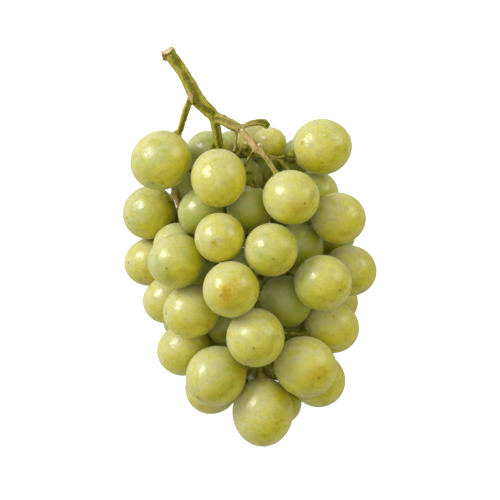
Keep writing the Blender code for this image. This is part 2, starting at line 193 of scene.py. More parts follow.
LEFT_TWIG = (
    (-19.4, 14.7, 21.5, 1.1),
    (-25.9, 13.0, 22.0, 1.0),
    (-28.2, 16.7, 24.3, 0.95),
    (-29.5, 20.2, 25.3, 1.0),
    (-30.3, 22.6, 25.2, 1.5),
)
DEEP_TWIG = (
    (-2.1, 29.8, 35.0, 0.95),
    (1.3, 29.8, 39.4, 0.7),
    (2.7, 28.0, 42.4, 0.6),
    (3.0, 25.6, 43.4, 0.6),
)

# Each stalk line, with how woody it is where it starts and where it ends (0 green to 1 brown), and its
# number of lengthwise ridges
STALK_LINES = (
    (CUT_STALK, 0.15, 0.10, 3),
    (CUT_HEEL, 0.70, 0.90, 3),
    (MIDDLE_STALK, 0.12, 0.05, 4),
    (LEFT_STALK, 0.20, 0.10, 3),
    (RIGHT_STALK, 0.22, 0.55, 4),
    (CURLED_STUB, 0.60, 0.15, 3),
    (KNOBBLY_STALK, 0.75, 1.0, 3),
    (UPPER_RIGHT_STALK, 0.50, 0.05, 4),
    (FRONT_RIGHT_STALK, 0.62, 0.30, 4),
    (PALE_TWIG, 0.0, 0.0, 4),
    (BROWN_TWIG, 0.95, 0.95, 4),
    (LEFT_TWIG, 0.85, 0.85, 4),
    (DEEP_TWIG, 0.0, 0.0, 4),
)

# Marks on the upper side of the stem: x, y, half length and half width in millimetres, the turn in degrees
# and the colour. Some are painted light: the umber marks are painted shade under the branches, save the one
# on a nick, one dark mark is painted shade in the crotch of the fork and two pale marks are painted
# highlights
BARK_MARKS = (
    (-23.3, 59.5, 2.1, 1.25, 108, "pink"),
    (-22.4, 60.4, 0.9, 0.3, 15, "umber_and_painted_shade"),
    # Painted shade in the crotch of the fork
    (-21.6, 56.9, 0.5, 0.4, 0, "dark_nick_and_shade"),
    (-3.0, 46.5, 0.5, 0.42, 0, "pale"),
    (-3.9, 46.4, 0.45, 0.3, 0, "dark_nick_and_shade"),
    (0.9, 41.6, 3.4, 0.75, 130, "pink"),
    (3.0, 41.0, 2.1, 0.6, 132, "amber"),
    # Painted highlight on the knob
    (3.9, 40.6, 0.55, 0.5, 0, "pale"),
    (1.5, 36.9, 0.8, 0.6, 40, "dark_nick_and_shade"),
    # Painted shade under the branches, in umber: this mark and the next two
    (-7.9, 46.7, 3.2, 0.55, 152, "umber_and_painted_shade"),
    (2.0, 48.1, 2.4, 0.5, 8, "umber_and_painted_shade"),
    (-9.4, 51.9, 0.7, 0.4, 150, "umber_and_painted_shade"),
    (-34.0, 75.5, 1.5, 1.2, 0, "dark_nick_and_shade"),
    (-34.1, 75.5, 1.0, 0.8, 0, "amber"),
    # Painted highlight on the cut end
    (-31.9, 77.7, 1.6, 0.5, 30, "pale"),
)

# Where the flower end of a berry shows: x and y from its middle, in half widths, seen from above
FLOWER_ENDS = {
    "front_berry_02": (0.45, -0.21),
    "front_berry_03": (-0.19, -0.20),
    "front_berry_04": (0.06, -0.34),
    "front_berry_05": (-0.29, -0.25),
    "front_berry_06": (0.53, -0.25),
    "front_berry_08": (-0.05, -0.30),
    "shoulder_berry_01": (-0.22, -0.76),
    "left_berry_01": (-0.83, -0.20),
    "left_berry_02": (-0.83, -0.02),
    "left_berry_04": (-0.86, -0.05),
    "tip_berry_03": (0.38, -0.32),
}

# Sun marks: berry, x and y from its middle in half widths, the radius in millimetres and the strength
SUN_MARKS = (
    ("front_berry_07", -0.16, -0.10, 3.2, 1.0),
    ("front_berry_07", 0.02, -0.14, 6.5, 0.5),
    ("front_berry_07", 0.24, -0.30, 1.3, 0.8),
    ("tip_berry_02", -0.55, -0.66, 1.3, 0.9),
    ("tip_berry_02", 0.22, -0.56, 1.1, 0.9),
    ("tip_berry_03", 0.34, -0.18, 4.2, 0.6),
    ("front_berry_04", 0.49, -0.41, 1.0, 0.8),
    ("front_berry_06", 0.32, -0.66, 1.0, 0.8),
    ("shoulder_berry_02", -0.66, 0.11, 1.0, 0.8),
    ("front_berry_02", 0.16, -0.30, 3.6, 0.5),
    ("front_berry_02", 0.42, -0.22, 1.0, 0.8),
    ("front_berry_03", -0.19, -0.20, 2.0, 0.6),
)

# Berries inside the bunch that the light still reaches, and how ripe they are: they are painted paler than
# the other inner berries, partly as real ripeness and partly as painted light
SUNLIT_INSIDE = {
    "top_berry_01": 0.35,
    "top_berry_03": 0.55,
    "top_berry_04": 0.75,
    "inner_berry_03": 0.45,
    "inner_berry_05": 0.60,
}


class BerrySettings(bpy.types.PropertyGroup):
    """Sizes and colours of the berries."""

    pale_flesh: FloatVectorProperty(
        name="Pale flesh",
        description="Flesh colour of the ripest patches",
        subtype="COLOR",
        size=4,
        default=(0.66, 0.59, 0.018, 1),
    )
    green_flesh: FloatVectorProperty(
        name="Green flesh",
        description="Flesh colour of the least ripe patches",
        subtype="COLOR",
        size=4,
        default=(0.41, 0.45, 0.022, 1),
    )
    amber_flesh: FloatVectorProperty(
        name="Amber flesh",
        description="Colour of the sun-ripened smudges",
        subtype="COLOR",
        size=4,
        default=(0.50, 0.40, 0.004, 1),
    )
    bloom_color: FloatVectorProperty(
        name="Bloom",
        description="Colour of the thin wax on the skin",
        subtype="COLOR",
        size=4,
        default=(0.80, 0.84, 0.72, 1),
    )
    freckle_color: FloatVectorProperty(
        name="Freckles",
        description="Colour of the small pores in the skin",
        subtype="COLOR",
        size=4,
        default=(0.40, 0.33, 0.004, 1),
    )
    sun_glow: FloatVectorProperty(
        name="Sun glow",
        description="Colour of the skin round a sun mark",
        subtype="COLOR",
        size=4,
        default=(0.58, 0.44, 0.006, 1),
    )
    sun_color: FloatVectorProperty(
        name="Sun mark",
        description="Colour of the middle of a sun mark",
        subtype="COLOR",
        size=4,
        default=(0.50, 0.31, 0.004, 1),
    )
    scar_color: FloatVectorProperty(
        name="Flower end",
        description="Colour of the dry mark that the flower left",
        subtype="COLOR",
        size=4,
        default=(0.36, 0.30, 0.012, 1),
    )
    flesh_depth: FloatProperty(
        name="Flesh depth",
        description="How far light travels inside a berry",
        subtype="DISTANCE",
        unit="LENGTH",
        default=0.0045,
    )
    wander: FloatProperty(
        name="Unevenness",
        description="How far a berry's form strays from an even egg shape",
        subtype="DISTANCE",
        unit="LENGTH",
        default=0.00012,
    )
    scar_radius: FloatProperty(
        name="Flower end radius",
        description="Radius of the dry mark at the flower end",
        subtype="DISTANCE",
        unit="LENGTH",
        default=0.00065,
    )
    segments: IntProperty(
        name="Segments",
        description="Columns of faces round the first sphere",
        default=48,
    )


class StemSettings(bpy.types.PropertyGroup):
    """Sizes and colours of the stem."""

    green: FloatVectorProperty(
        name="Green bark",
        description="Colour of the young bark on the ridges",
        subtype="COLOR",
        size=4,
        default=(0.38, 0.35, 0.016, 1),
    )
    # Painted shade: darker bark down in the grooves between the ridges, also in random streaks, patches and
    # cracks
    painted_groove_shade: FloatVectorProperty(
        name="Groove",
        description="Colour of the bark down in the grooves",
        subtype="COLOR",
        size=4,
        default=(0.15, 0.14, 0.002, 1),
    )
    tan: FloatVectorProperty(
        name="Tan bark",
        description="Colour of the dry woody bark",
        subtype="COLOR",
        size=4,
        default=(0.60, 0.45, 0.17, 1),
    )
    brown: FloatVectorProperty(
        name="Brown bark",
        description="Colour of the darkest dry bark",
        subtype="COLOR",
        size=4,
        default=(0.30, 0.17, 0.03, 1),
    )
    cut: FloatVectorProperty(
        name="Cut wood",
        description="Colour of the torn wood at the cut end",
        subtype="COLOR",
        size=4,
        default=(0.70, 0.50, 0.22, 1),
    )
    pink: FloatVectorProperty(
        name="Pink bark",
        description="Colour of the rubbed patches on the bark",
        subtype="COLOR",
        size=4,
        default=(0.64, 0.40, 0.20, 1),
    )
    # Painted shade: umber painted on the bark under the branches, and on one nick
    umber_and_painted_shade: FloatVectorProperty(
        name="Shaded bark",
        description="Colour of the dry bark under the branches",
        subtype="COLOR",
        size=4,
        default=(0.24, 0.14, 0.012, 1),
    )
    # Also painted shade in the crotch of the fork, besides the nicks and dead ends
    dark_nick_and_shade: FloatVectorProperty(
        name="Nick",
        description="Colour of the nicks and dead ends",
        subtype="COLOR",
        size=4,
        default=(0.07, 0.03, 0.008, 1),
    )
    amber: FloatVectorProperty(
        name="Dry flesh",
        description="Colour of the dried, broken places",
        subtype="COLOR",
        size=4,
        default=(0.36, 0.19, 0.015, 1),
    )
    # Also painted highlights on the knob and at the cut end, besides the bare spots
    pale: FloatVectorProperty(
        name="Bare wood",
        description="Colour of the small bare spots",
        subtype="COLOR",
        size=4,
        default=(0.86, 0.76, 0.56, 1),
    )
    ridge_height: FloatProperty(
        name="Ridge height",
        description="Height of the lengthwise ridges on a stalk 5 mm thick",
        subtype="DISTANCE",
        unit="LENGTH",
        default=0.00022,
    )
    grain: FloatProperty(
        name="Grain",
        description="Size of the faces of the fine stem mesh",
        subtype="DISTANCE",
        unit="LENGTH",
        default=0.0003,
    )
    collar_radius: FloatProperty(
        name="Collar radius",
        description="Radius of the swollen collar where a berry hangs",
        subtype="DISTANCE",
        unit="LENGTH",
        default=0.0019,
    )
    collar_depth: FloatProperty(
        name="Collar depth",
        description="Thickness of the swollen collar where a berry hangs",
        subtype="DISTANCE",
        unit="LENGTH",
        default=0.00065,
    )


class StageSettings(bpy.types.PropertyGroup):
    """Floor, lights and camera."""

    floor_color: FloatVectorProperty(
        name="Floor",
        description="Colour of the pale floor",
        subtype="COLOR",
        size=4,
        default=(0.62, 0.62, 0.61, 1),
    )
    floor_glow: FloatProperty(
        name="Floor glow",
        description="How brightly the floor shows where it is looked at; it throws no light",
        default=0.85,
    )
    sky: FloatProperty(
        name="Sky",
        description="Strength of the even light straight above",
        default=0.92,
    )
    horizon: FloatProperty(
        name="Horizon",
        description="Strength of the even light at the horizon",
        default=0.04,
    )
    reflection: FloatProperty(
        name="Reflected sky",
        description="How much of the even light shows in reflections",
        default=0.4,
    )
    key_power: FloatProperty(
        name="Key light",
        description="Power of the soft light on the left",
        subtype="POWER",
        unit="POWER",
        default=12.5,
    )
    fill_power: FloatProperty(
        name="Fill light",
        description="Power of the weaker soft light on the right",
        subtype="POWER",
        unit="POWER",
        default=4.5,
    )
    lens: FloatProperty(
        name="Lens",
        description="Focal length of the camera",
        subtype="DISTANCE_CAMERA",
        unit="CAMERA",
        default=180.0,
    )
    camera_height: FloatProperty(
        name="Camera height",
        description="Height of the camera above the floor",
        subtype="DISTANCE",
        unit="LENGTH",
        default=1.034,
    )


# Small tools --------------------------------------------------------------------------------


def deselect_all():
    bpy.ops.object.select_all(action="DESELECT")


def select_only(obj):
    deselect_all()
    obj.select_set(True)
    bpy.context.view_layer.objects.active = obj


def select_faces(obj, wanted):
    """In edit mode, selects just the faces whose middle passes the test."""
    bpy.ops.mesh.select_all(action="DESELECT")
    shape = bmesh.from_edit_mesh(obj.data)
    for face in shape.faces:
        face.select_set(wanted(face.calc_center_median()))
    bmesh.update_edit_mesh(obj.data)


def mesh_points(mesh):
    points = np.empty(len(mesh.vertices) * 3, np.float32)
    mesh.vertices.foreach_get("co", points)
    return points.reshape(-1, 3).astype(float)


def set_mesh_points(mesh, points):
    mesh.vertices.foreach_set("co", points.astype(np.float32).ravel())
    mesh.update()


def mesh_normals(mesh):
    normals = np.empty(len(mesh.vertices) * 3, np.float32)
    mesh.vertex_normals.foreach_get("vector", normals)
    return normals.reshape(-1, 3).astype(float)


def paint(mesh, name, values):
    """Stores one number for each point of a mesh, for its material to read."""
    layer = mesh.attributes.new(name, "FLOAT", "POINT")
    layer.data.foreach_set("value", np.asarray(values, np.float32))


def paint_vectors(mesh, name, values):
    layer = mesh.attributes.new(name, "FLOAT_VECTOR", "POINT")
    layer.data.foreach_set("vector", np.asarray(values, np.float32).ravel())


def smoothstep(low, high, values):
    share = np.clip((values - low) / (high - low), 0, 1)
    return share * share * (3 - 2 * share)


def apply_modifier(obj, kind, **settings):
    select_only(obj)
    modifier = obj.modifiers.new(kind.lower(), kind)
    for key, value in settings.items():
        setattr(modifier, key, value)
    bpy.ops.object.modifier_apply(modifier=modifier.name)


def copy_with_own_mesh(obj, name):
    copy = obj.copy()
    copy.data = obj.data.copy()
    copy.name = name
    copy.data.name = name
    bpy.context.scene.collection.objects.link(copy)
    return copy


def waves(points, rng, count, length):
    """An even, gently wandering number between about -1 and 1 at each point."""
    total = np.zeros(len(points))
    for _ in range(count):
        direction = rng.normal(size=3)
        direction *= 2 * math.pi / (length * np.linalg.norm(direction))
        total += np.sin(points @ direction + rng.uniform(0, 2 * math.pi))
    return total / math.sqrt(count)


class Recipe:
    """A material's nodes, added and linked one after the other."""

    def __init__(self, name):
        self.material = bpy.data.materials.new(name)
        self.material.use_nodes = True
        self.tree = self.material.node_tree
        self.tree.nodes.clear()
        self.output = self.tree.nodes.new("ShaderNodeOutputMaterial")

    def node(self, kind, settings=None, **inputs):
        made = self.tree.nodes.new(kind)
        for key, value in (settings or {}).items():
            setattr(made, key, value)
        for key, value in inputs.items():
            self.feed(made.inputs[key.replace("_", " ")], value)
        return made

    def feed(self, socket, value):
        if isinstance(value, bpy.types.NodeSocket):
            self.tree.links.new(value, socket)
        else:
            socket.default_value = value

    def place(self):
        """Where a point is on the bunch, counted in millimetres."""
        where = self.node("ShaderNodeTexCoord").outputs["Object"]
        return self.node("ShaderNodeMapping", Vector=where, Scale=(1 / MM,) * 3).outputs["Vector"]

    def noise(self, where, scale, detail=3.0, rough=0.55, bend=0.0):
        made = self.node(
            "ShaderNodeTexNoise", Vector=where, Scale=scale, Detail=detail, Roughness=rough, Distortion=bend
        )
        return made.outputs["Fac"]

    def spread(self, value, low, high, to_low=0.0, to_high=1.0):
        """Turns the stretch from low to high into the stretch from to_low to to_high."""
        made = self.node("ShaderNodeMapRange", {"interpolation_type": "SMOOTHSTEP"}, Value=value)
        self.feed(made.inputs["From Min"], low)
        self.feed(made.inputs["From Max"], high)
        self.feed(made.inputs["To Min"], to_low)
        self.feed(made.inputs["To Max"], to_high)
        return made.outputs["Result"]

    def math(self, operation, first, second):
        made = self.node("ShaderNodeMath", {"operation": operation})
        self.feed(made.inputs[0], first)
        self.feed(made.inputs[1], second)
        return made.outputs["Value"]

    def blend(self, share, first, second):
        made = self.node("ShaderNodeMix", {"data_type": "RGBA"})
        self.feed(made.inputs["Factor"], share)
        self.feed(made.inputs[6], first)
        self.feed(made.inputs[7], second)
        return made.outputs[2]

    def painted(self, name):
        return self.node("ShaderNodeAttribute", {"attribute_name": name}).outputs["Fac"]

    def stain(self, color, name, shade, strength=1.0):
        """Colours the places that are painted with the attribute given."""
        share = self.math("MULTIPLY", self.painted(name), strength)
        return self.blend(share, color, tuple(shade))

    def finish(self, shader):
        self.tree.links.new(shader, self.output.inputs["Surface"])
        return self.material


# Berries --------------------------------------------------------------------------------------


def corners(node):
    """The separate corner points of a CAD node."""
    return np.unique(mesh_points(frame["nodes"][node].data).round(8), axis=0)


class BerryForm:
    """The egg form that the corners of a berry's CAD solid lie on, and where its stalk meets it."""

    def __init__(self, node, stem_points):
        points = corners(node)
        points = points[points[:, 2] > 0.05 * MM]
        start = points.mean(axis=0)
        unit = 10 * MM
        x, y, z = ((points - start) / unit).T
        rows = np.stack((x * x, y * y, z * z, 2 * x * y, 2 * x * z, 2 * y * z, 2 * x, 2 * y, 2 * z), axis=1)
        a = np.linalg.lstsq(rows, np.ones(len(rows)), rcond=None)[0]
        curve = np.array(((a[0], a[3], a[4]), (a[3], a[1], a[5]), (a[4], a[5], a[2])))
        middle = -np.linalg.solve(curve, a[6:9])
        values, vectors = np.linalg.eigh(curve / (1 + middle @ curve @ middle))
        self.middle = start + middle * unit
        self.radii = unit / np.sqrt(values)
        self.stretch = vectors @ np.diag(self.radii) @ vectors.T
        self.half_width = float(self.radii[2])
        self.stalk = self.stalk_direction(stem_points)
        axis = vectors[:, 0]
        self.axis = -axis if axis @ self.stalk > 0 else axis

    def stalk_direction(self, stem_points):
        """From the berry's middle to the end of its stalk."""
        away = stem_points - self.middle
        height = np.linalg.norm(away @ np.linalg.inv(self.stretch), axis=1)
        end = away[height < height.min() + 0.03].mean(axis=0)
        return end / np.linalg.norm(end)


def flower_direction(node, form):
    """From the berry's middle to the mark that its flower left."""
    if node not in FLOWER_ENDS:
        return form.axis
    x, y = FLOWER_ENDS[node]
    return np.array((x, y, math.sqrt(1 - x * x - y * y)))


def model_berry(settings):
    """One round berry of radius 1 with the dry, sunken button of its flower end on top."""
    deselect_all()
    bpy.ops.mesh.primitive_uv_sphere_add(
        segments=settings.segments, ring_count=settings.segments * 2 // 3, radius=1.0, location=(0, 0, 0)
    )
    berry = bpy.context.object
    bpy.ops.object.mode_set(mode="EDIT")
    select_faces(berry, lambda middle: middle.z > math.cos(0.09))
    bpy.ops.mesh.inset(thickness=0.03, depth=-0.004)
    bpy.ops.mesh.inset(thickness=0.008, depth=0.010)
    bpy.ops.mesh.inset(thickness=0.012, depth=0.002)
    bpy.ops.mesh.inset(thickness=0.010, depth=-0.012)
    bpy.ops.mesh.select_all(action="SELECT")
    bpy.ops.mesh.normals_make_consistent(inside=False)
    bpy.ops.object.mode_set(mode="OBJECT")
    apply_modifier(berry, "SUBSURF", levels=1, render_levels=1)
    return berry


def grow_berry(pattern, node, number, material, settings, stem_points):
    """Copies the modelled berry into the place of a CAD berry and gives it its own form and marks."""
    form = BerryForm(node, stem_points)
    rng = np.random.default_rng(number)
    berry = copy_with_own_mesh(pattern, node.replace("_berry_", "_grape_"))
    mesh = berry.data
    flower = flower_direction(node, form)
    turn = np.array(Vector(flower).to_track_quat("Z", "Y").to_matrix())
    ways = mesh_points(mesh) @ turn.T
    headings = ways / np.linalg.norm(ways, axis=1)[:, None]
    swell = settings.wander * waves(headings, rng, 5, 2.2)
    from_stalk = np.arccos(np.clip(headings @ form.stalk, -1, 1)) * form.half_width
    swell += 0.28 * MM * (1 - smoothstep(1.2 * MM, 2.3 * MM, from_stalk))
    swell -= 0.16 * MM * np.exp(-(((from_stalk - 3.0 * MM) / (0.8 * MM)) ** 2))
    points = form.middle + ways @ form.stretch + headings * swell[:, None]
    soft = 0.12 * MM
    points[:, 2] = (points[:, 2] + np.sqrt(points[:, 2] ** 2 + soft**2)) / 2
    set_mesh_points(mesh, points)
    from_flower = np.arccos(np.clip(headings @ flower, -1, 1)) * form.half_width
    paint(mesh, "flower_end", 1 - smoothstep(0.6, 1.25, from_flower / settings.scar_radius))
    paint(mesh, "stalk_end", 1 - smoothstep(1.8 * MM, 4.5 * MM, from_stalk))
    # Ripeness, set lower on berries inside the bunch: partly real green and partly painted shade
    paint(mesh, "ripeness_and_inner_shade", np.full(len(points), ripeness_and_inner_shade(node, rng)))
    paint(mesh, "sun_mark", sun_marks(node, headings, form, rng))
    # The pale wax share, painted thickest towards the key light: a painted haze of highlight
    paint(mesh, "bloom_and_painted_haze", bloom_and_painted_haze(headings, rng))
    mesh.materials.clear()
    mesh.materials.append(material)
    select_only(berry)
    bpy.ops.object.shade_smooth()
    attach(berry, BODY)
    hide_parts(node)


def ripeness_and_inner_shade(node, rng):
    """Berries in the light ripen pale and yellow; those inside the bunch stay green, and their darker green
    is partly painted shade for lying inside the bunch.
    """
    inside = node.startswith(("inner", "top", "back"))
    return SUNLIT_INSIDE.get(node, 0.15 if inside else 0.72) + rng.uniform(-0.12, 0.12)


def bloom_and_painted_haze(headings, rng):
    """How thick the pale wax is painted at each point: thickest on the side towards the key light, a painted
    haze of highlight over the real wax.
    """
    side = np.array(PAINTED_HAZE_SIDE) + rng.uniform(-0.12, 0.12, 3)
    side /= np.linalg.norm(side)
    return smoothstep(-0.15, 1.0, headings @ side + 0.10 * waves(headings, rng, 5, 0.9))


def sun_marks(node, headings, form, rng):
    """How strongly each point is marked by the sun."""
    total = np.zeros(len(headings))
    edge = waves(headings, rng, 6, 0.5)
    for berry, x, y, radius, strength in SUN_MARKS:
        if berry == node:
            spot = np.array((x, y, math.sqrt(1 - x * x - y * y)))
            away = np.arccos(np.clip(headings @ spot, -1, 1)) * form.half_width / (radius * MM)
            total = np.maximum(total, strength * (1 - smoothstep(0.35, 1.2, away + 0.17 * edge)))
    return total


def grape_skin(settings):
    """Thin waxy skin over translucent flesh: patches, smudges, freckles, sun marks and a pale wax painted
    thickest towards the key light as a painted haze of highlight; berries inside the bunch are painted darker
    green, partly as painted shade.
    """
    recipe = Recipe("grape_skin")
    where = recipe.place()
    # Flesh from green to pale by ripeness; the darker green of berries inside the bunch is partly painted
    # shade
    ripe_and_shaded = recipe.math("SUBTRACT", recipe.painted("ripeness_and_inner_shade"), 0.5)
    patches = recipe.math("ADD", recipe.noise(where, 0.10, 3.0, 0.6, 0.6), ripe_and_shaded)
    color = recipe.blend(
        recipe.spread(patches, 0.28, 0.78), tuple(settings.green_flesh), tuple(settings.pale_flesh)
    )
    smudge = recipe.spread(recipe.noise(where, 0.30, 2.0, 0.5, 0.3), 0.48, 0.74, 0.0, 0.8)
    color = recipe.blend(smudge, color, tuple(settings.amber_flesh))
    mottle = recipe.spread(recipe.noise(where, 0.42, 2.0, 0.5, 0.4), 0.48, 0.76, 0.0, 0.4)
    color = recipe.blend(mottle, color, tuple(settings.green_flesh))
    sun = recipe.painted("sun_mark")
    grains = recipe.math("SUBTRACT", recipe.noise(where, 0.9, 4.0, 0.7), 0.5)
    frayed = recipe.math("MULTIPLY", sun, recipe.spread(grains, -0.14, 0.14, 0.7, 2.2))
    tanned = recipe.math("MINIMUM", frayed, 1.0)
    color = recipe.blend(tanned, color, tuple(settings.sun_glow))
    ragged = recipe.math("ADD", sun, recipe.math("MULTIPLY", grains, 2.2))
    burnt = recipe.spread(ragged, 0.55, 1.15, 0.0, 0.85)
    core = recipe.math("MULTIPLY", burnt, recipe.spread(sun, 0.0, 0.2))
    color = recipe.blend(core, color, tuple(settings.sun_color))
    color = recipe.stain(color, "stalk_end", settings.pale_flesh, 0.5)
    uneven = recipe.math("MULTIPLY", recipe.noise(where, 0.9, 2.0, 0.5), 0.16)
    cells = recipe.node("ShaderNodeTexVoronoi", Vector=where, Scale=0.17)
    chosen = recipe.node("ShaderNodeSeparateColor", Color=cells.outputs["Color"])
    dots = recipe.spread(recipe.math("ADD", cells.outputs["Distance"], uneven), 0.10, 0.30, 1.0, 0.0)
    some = recipe.spread(chosen.outputs["Red"], 0.35, 0.90)
    freckles = recipe.math("MULTIPLY", dots, some)
    color = recipe.blend(recipe.math("MULTIPLY", freckles, 0.7), color, tuple(settings.freckle_color))
    scar = recipe.painted("flower_end")
    color = recipe.blend(recipe.math("MULTIPLY", scar, 0.9), color, tuple(settings.scar_color))
    marks = recipe.math("MAXIMUM", scar, core)
    bare = recipe.math("MAXIMUM", tanned, recipe.math("MULTIPLY", smudge, 0.3))
    bare = recipe.math("MAXIMUM", bare, marks)
    bare = recipe.math("MAXIMUM", bare, recipe.math("MULTIPLY", freckles, 0.8))
    clean = recipe.math("SUBTRACT", 1.0, bare)
    gloss = recipe.math("SUBTRACT", 1.0, recipe.math("MULTIPLY", bare, 0.8))
    pits = recipe.math("MULTIPLY", freckles, 0.1)
    hills = recipe.math("SUBTRACT", recipe.noise(where, 0.9, 3.0, 0.5), pits)
    bump = recipe.node("ShaderNodeBump", Height=hills, Strength=0.14, Distance=0.15 * MM)
    ripples = recipe.node(
        "ShaderNodeBump", Height=recipe.noise(where, 0.34, 3.5, 0.6, 0.4), Strength=1.0, Distance=0.34 * MM
    )
    veil = recipe.noise(where, 0.30, 4.0, 0.62, 0.4)
    clouds = recipe.noise(where, 0.75, 3.0, 0.6, 0.6)
    flesh = recipe.node(
        "ShaderNodeBsdfPrincipled",
        Base_Color=color,
        Roughness=recipe.spread(veil, 0.3, 0.7, 0.38, 0.55),
        IOR=1.45,
        Specular_IOR_Level=0.4,
        Normal=bump.outputs["Normal"],
        Subsurface_Weight=recipe.spread(marks, 0.0, 1.0, 0.85, 0.5),
        Subsurface_Radius=(1.0, 0.85, 0.10),
        Subsurface_Scale=settings.flesh_depth,
        Sheen_Weight=0.45,
        Sheen_Roughness=0.25,
        Sheen_Tint=tuple(settings.bloom_color),
        Coat_Weight=recipe.math("MULTIPLY", recipe.spread(clouds, 0.36, 0.60, 0.25, 1.0), gloss),
        Coat_Roughness=0.24,
        Coat_IOR=1.9,
        Coat_Normal=ripples.outputs["Normal"],
    )
    wax = recipe.node("ShaderNodeBsdfDiffuse", Color=tuple(settings.bloom_color), Roughness=0.4)
    # Pale wax share: random wax patches, painted thickest towards the key light as a painted haze of
    # highlight
    wax_and_painted_haze = recipe.math("MULTIPLY", recipe.painted("bloom_and_painted_haze"), recipe.spread(veil, 0.30, 0.70, 0.10, 0.46))
    # Berries inside the bunch get less pale wax, partly as painted shade
    ripe_and_lit_share = recipe.spread(recipe.painted("ripeness_and_inner_shade"), 0.2, 0.6, 0.7, 1.0)
    share = recipe.math("MULTIPLY", recipe.math("MULTIPLY", wax_and_painted_haze, ripe_and_lit_share), clean)
    mix = recipe.node("ShaderNodeMixShader")
    recipe.feed(mix.inputs[0], share)
    recipe.feed(mix.inputs[1], flesh.outputs["BSDF"])
    recipe.feed(mix.inputs[2], wax.outputs["BSDF"])
    return recipe.finish(mix.outputs["Shader"])


class BerryGroup:
    """What the operators that make a group of berries share."""

    bl_options = {"REGISTER", "UNDO"}
    groups = ()

    def execute(self, context):
        settings = context.scene.grape_berries
        material = bpy.data.materials.get("grape_skin") or grape_skin(settings)
        nodes = sorted(frame["nodes"])
        stem_points = corners("stem")
        pattern = model_berry(settings)
        for number, node in enumerate(nodes):
            if node.startswith(self.groups):
                grow_berry(pattern, node, number, material, settings, stem_points)
        bpy.data.objects.remove(pattern, do_unlink=True)
        return {"FINISHED"}


class GRAPES_OT_front_berries(BerryGroup, bpy.types.Operator):
    """Make the berries on the front of the bunch and on its shoulders"""

    bl_idname = "grapes.front_berries"
    bl_label = "Front berries"
    groups = ("front", "shoulder")


class GRAPES_OT_side_berries(BerryGroup, bpy.types.Operator):
    """Make the berries down both sides and at the tip"""

    bl_idname = "grapes.side_berries"
    bl_label = "Side berries"
    groups = ("left", "right", "tip")


class GRAPES_OT_inner_berries(BerryGroup, bpy.types.Operator):
    """Make the berries inside the bunch and round the top of the stem"""

    bl_idname = "grapes.inner_berries"
    bl_label = "Inner berries"
    groups = ("inner", "top")


class GRAPES_OT_back_berries(BerryGroup, bpy.types.Operator):
    """Make the berries that the bunch lies on"""

    bl_idname = "grapes.back_berries"
    bl_label = "Back berries"
    groups = ("back",)


# Stem -------------------------------------------------------------------------------------------


def model_collar(settings):
    """The swollen, round-edged collar that holds a berry: its foot is at z = 0, towards the berry."""
    deselect_all()
    bpy.ops.mesh.primitive_cylinder_add(
        vertices=16,
        radius=settings.collar_radius,
        depth=settings.collar_depth,
        end_fill_type="NGON",
        location=(0, 0, settings.collar_depth / 2),
    )
    collar = bpy.context.object
    bpy.ops.object.mode_set(mode="EDIT")
    select_faces(collar, lambda middle: middle.z > 0.9 * settings.collar_depth)
    bpy.ops.mesh.inset(thickness=0.3 * settings.collar_radius)
    bpy.ops.transform.translate(value=(0, 0, 0.35 * settings.collar_depth))
    bpy.ops.object.mode_set(mode="OBJECT")
    return collar


def place_collars(pattern):
    """A collar between each berry and the end of its stalk."""
    stem_points = corners("stem")
    collars = []
    for node in sorted(frame["nodes"]):
        if node == "stem":
            continue
        form = BerryForm(node, stem_points)
        foot = form.middle + form.stalk / np.linalg.norm(np.linalg.inv(form.stretch) @ form.stalk)
        collar = copy_with_own_mesh(pattern, "collar")
        turn = Vector(form.stalk).to_track_quat("Z", "Y").to_matrix().to_4x4()
        collar.data.transform(Matrix.Translation(Vector(foot)) @ turn)
        collars.append(collar)
    return collars


def stem_copy():
    """The CAD stem as one joined-up mesh of its own."""
    deselect_all()
    stem = copy_with_own_mesh(frame["nodes"]["stem"], "stem_bark")
    stem.parent = None
    for key in list(stem.keys()):
        del stem[key]
    select_only(stem)
    bpy.ops.object.mode_set(mode="EDIT")
    bpy.ops.mesh.select_all(action="SELECT")
    bpy.ops.mesh.remove_doubles(threshold=0.001 * MM)
    bpy.ops.object.mode_set(mode="OBJECT")
    return stem


def torn_fibres():
    """Short splinters that stand out of the cut end."""
    rng = np.random.default_rng(5)
    end = np.array(CUT_STALK[0][:3]) * MM
    along = cut_direction()
    side = np.cross(along, (0, 0, 1))
    side /= np.linalg.norm(side)
    up = np.cross(side, along)
    fibres = []
    for number in range(FIBRES):
        angle = 2 * math.pi * number / FIBRES + rng.uniform(-0.3, 0.3)
        reach = rng.uniform(0.9, 2.3) * MM
        length = rng.uniform(0.8, 1.7) * MM
        foot = end + (side * math.cos(angle) + up * math.sin(angle)) * reach - along * 0.5 * length
        deselect_all()
        bpy.ops.mesh.primitive_cone_add(vertices=6, radius1=0.75 * MM, radius2=0.3 * MM, depth=2 * length)
        fibre = bpy.context.object
        turn = Vector(along).to_track_quat("Z", "Y").to_matrix().to_4x4()
        fibre.data.transform(Matrix.Translation(Vector(foot)) @ turn)
        fibres.append(fibre)
    return fibres


def join(body, others):
    deselect_all()
    for obj in others:
        obj.select_set(True)
    body.select_set(True)
    bpy.context.view_layer.objects.active = body
    bpy.ops.object.join()


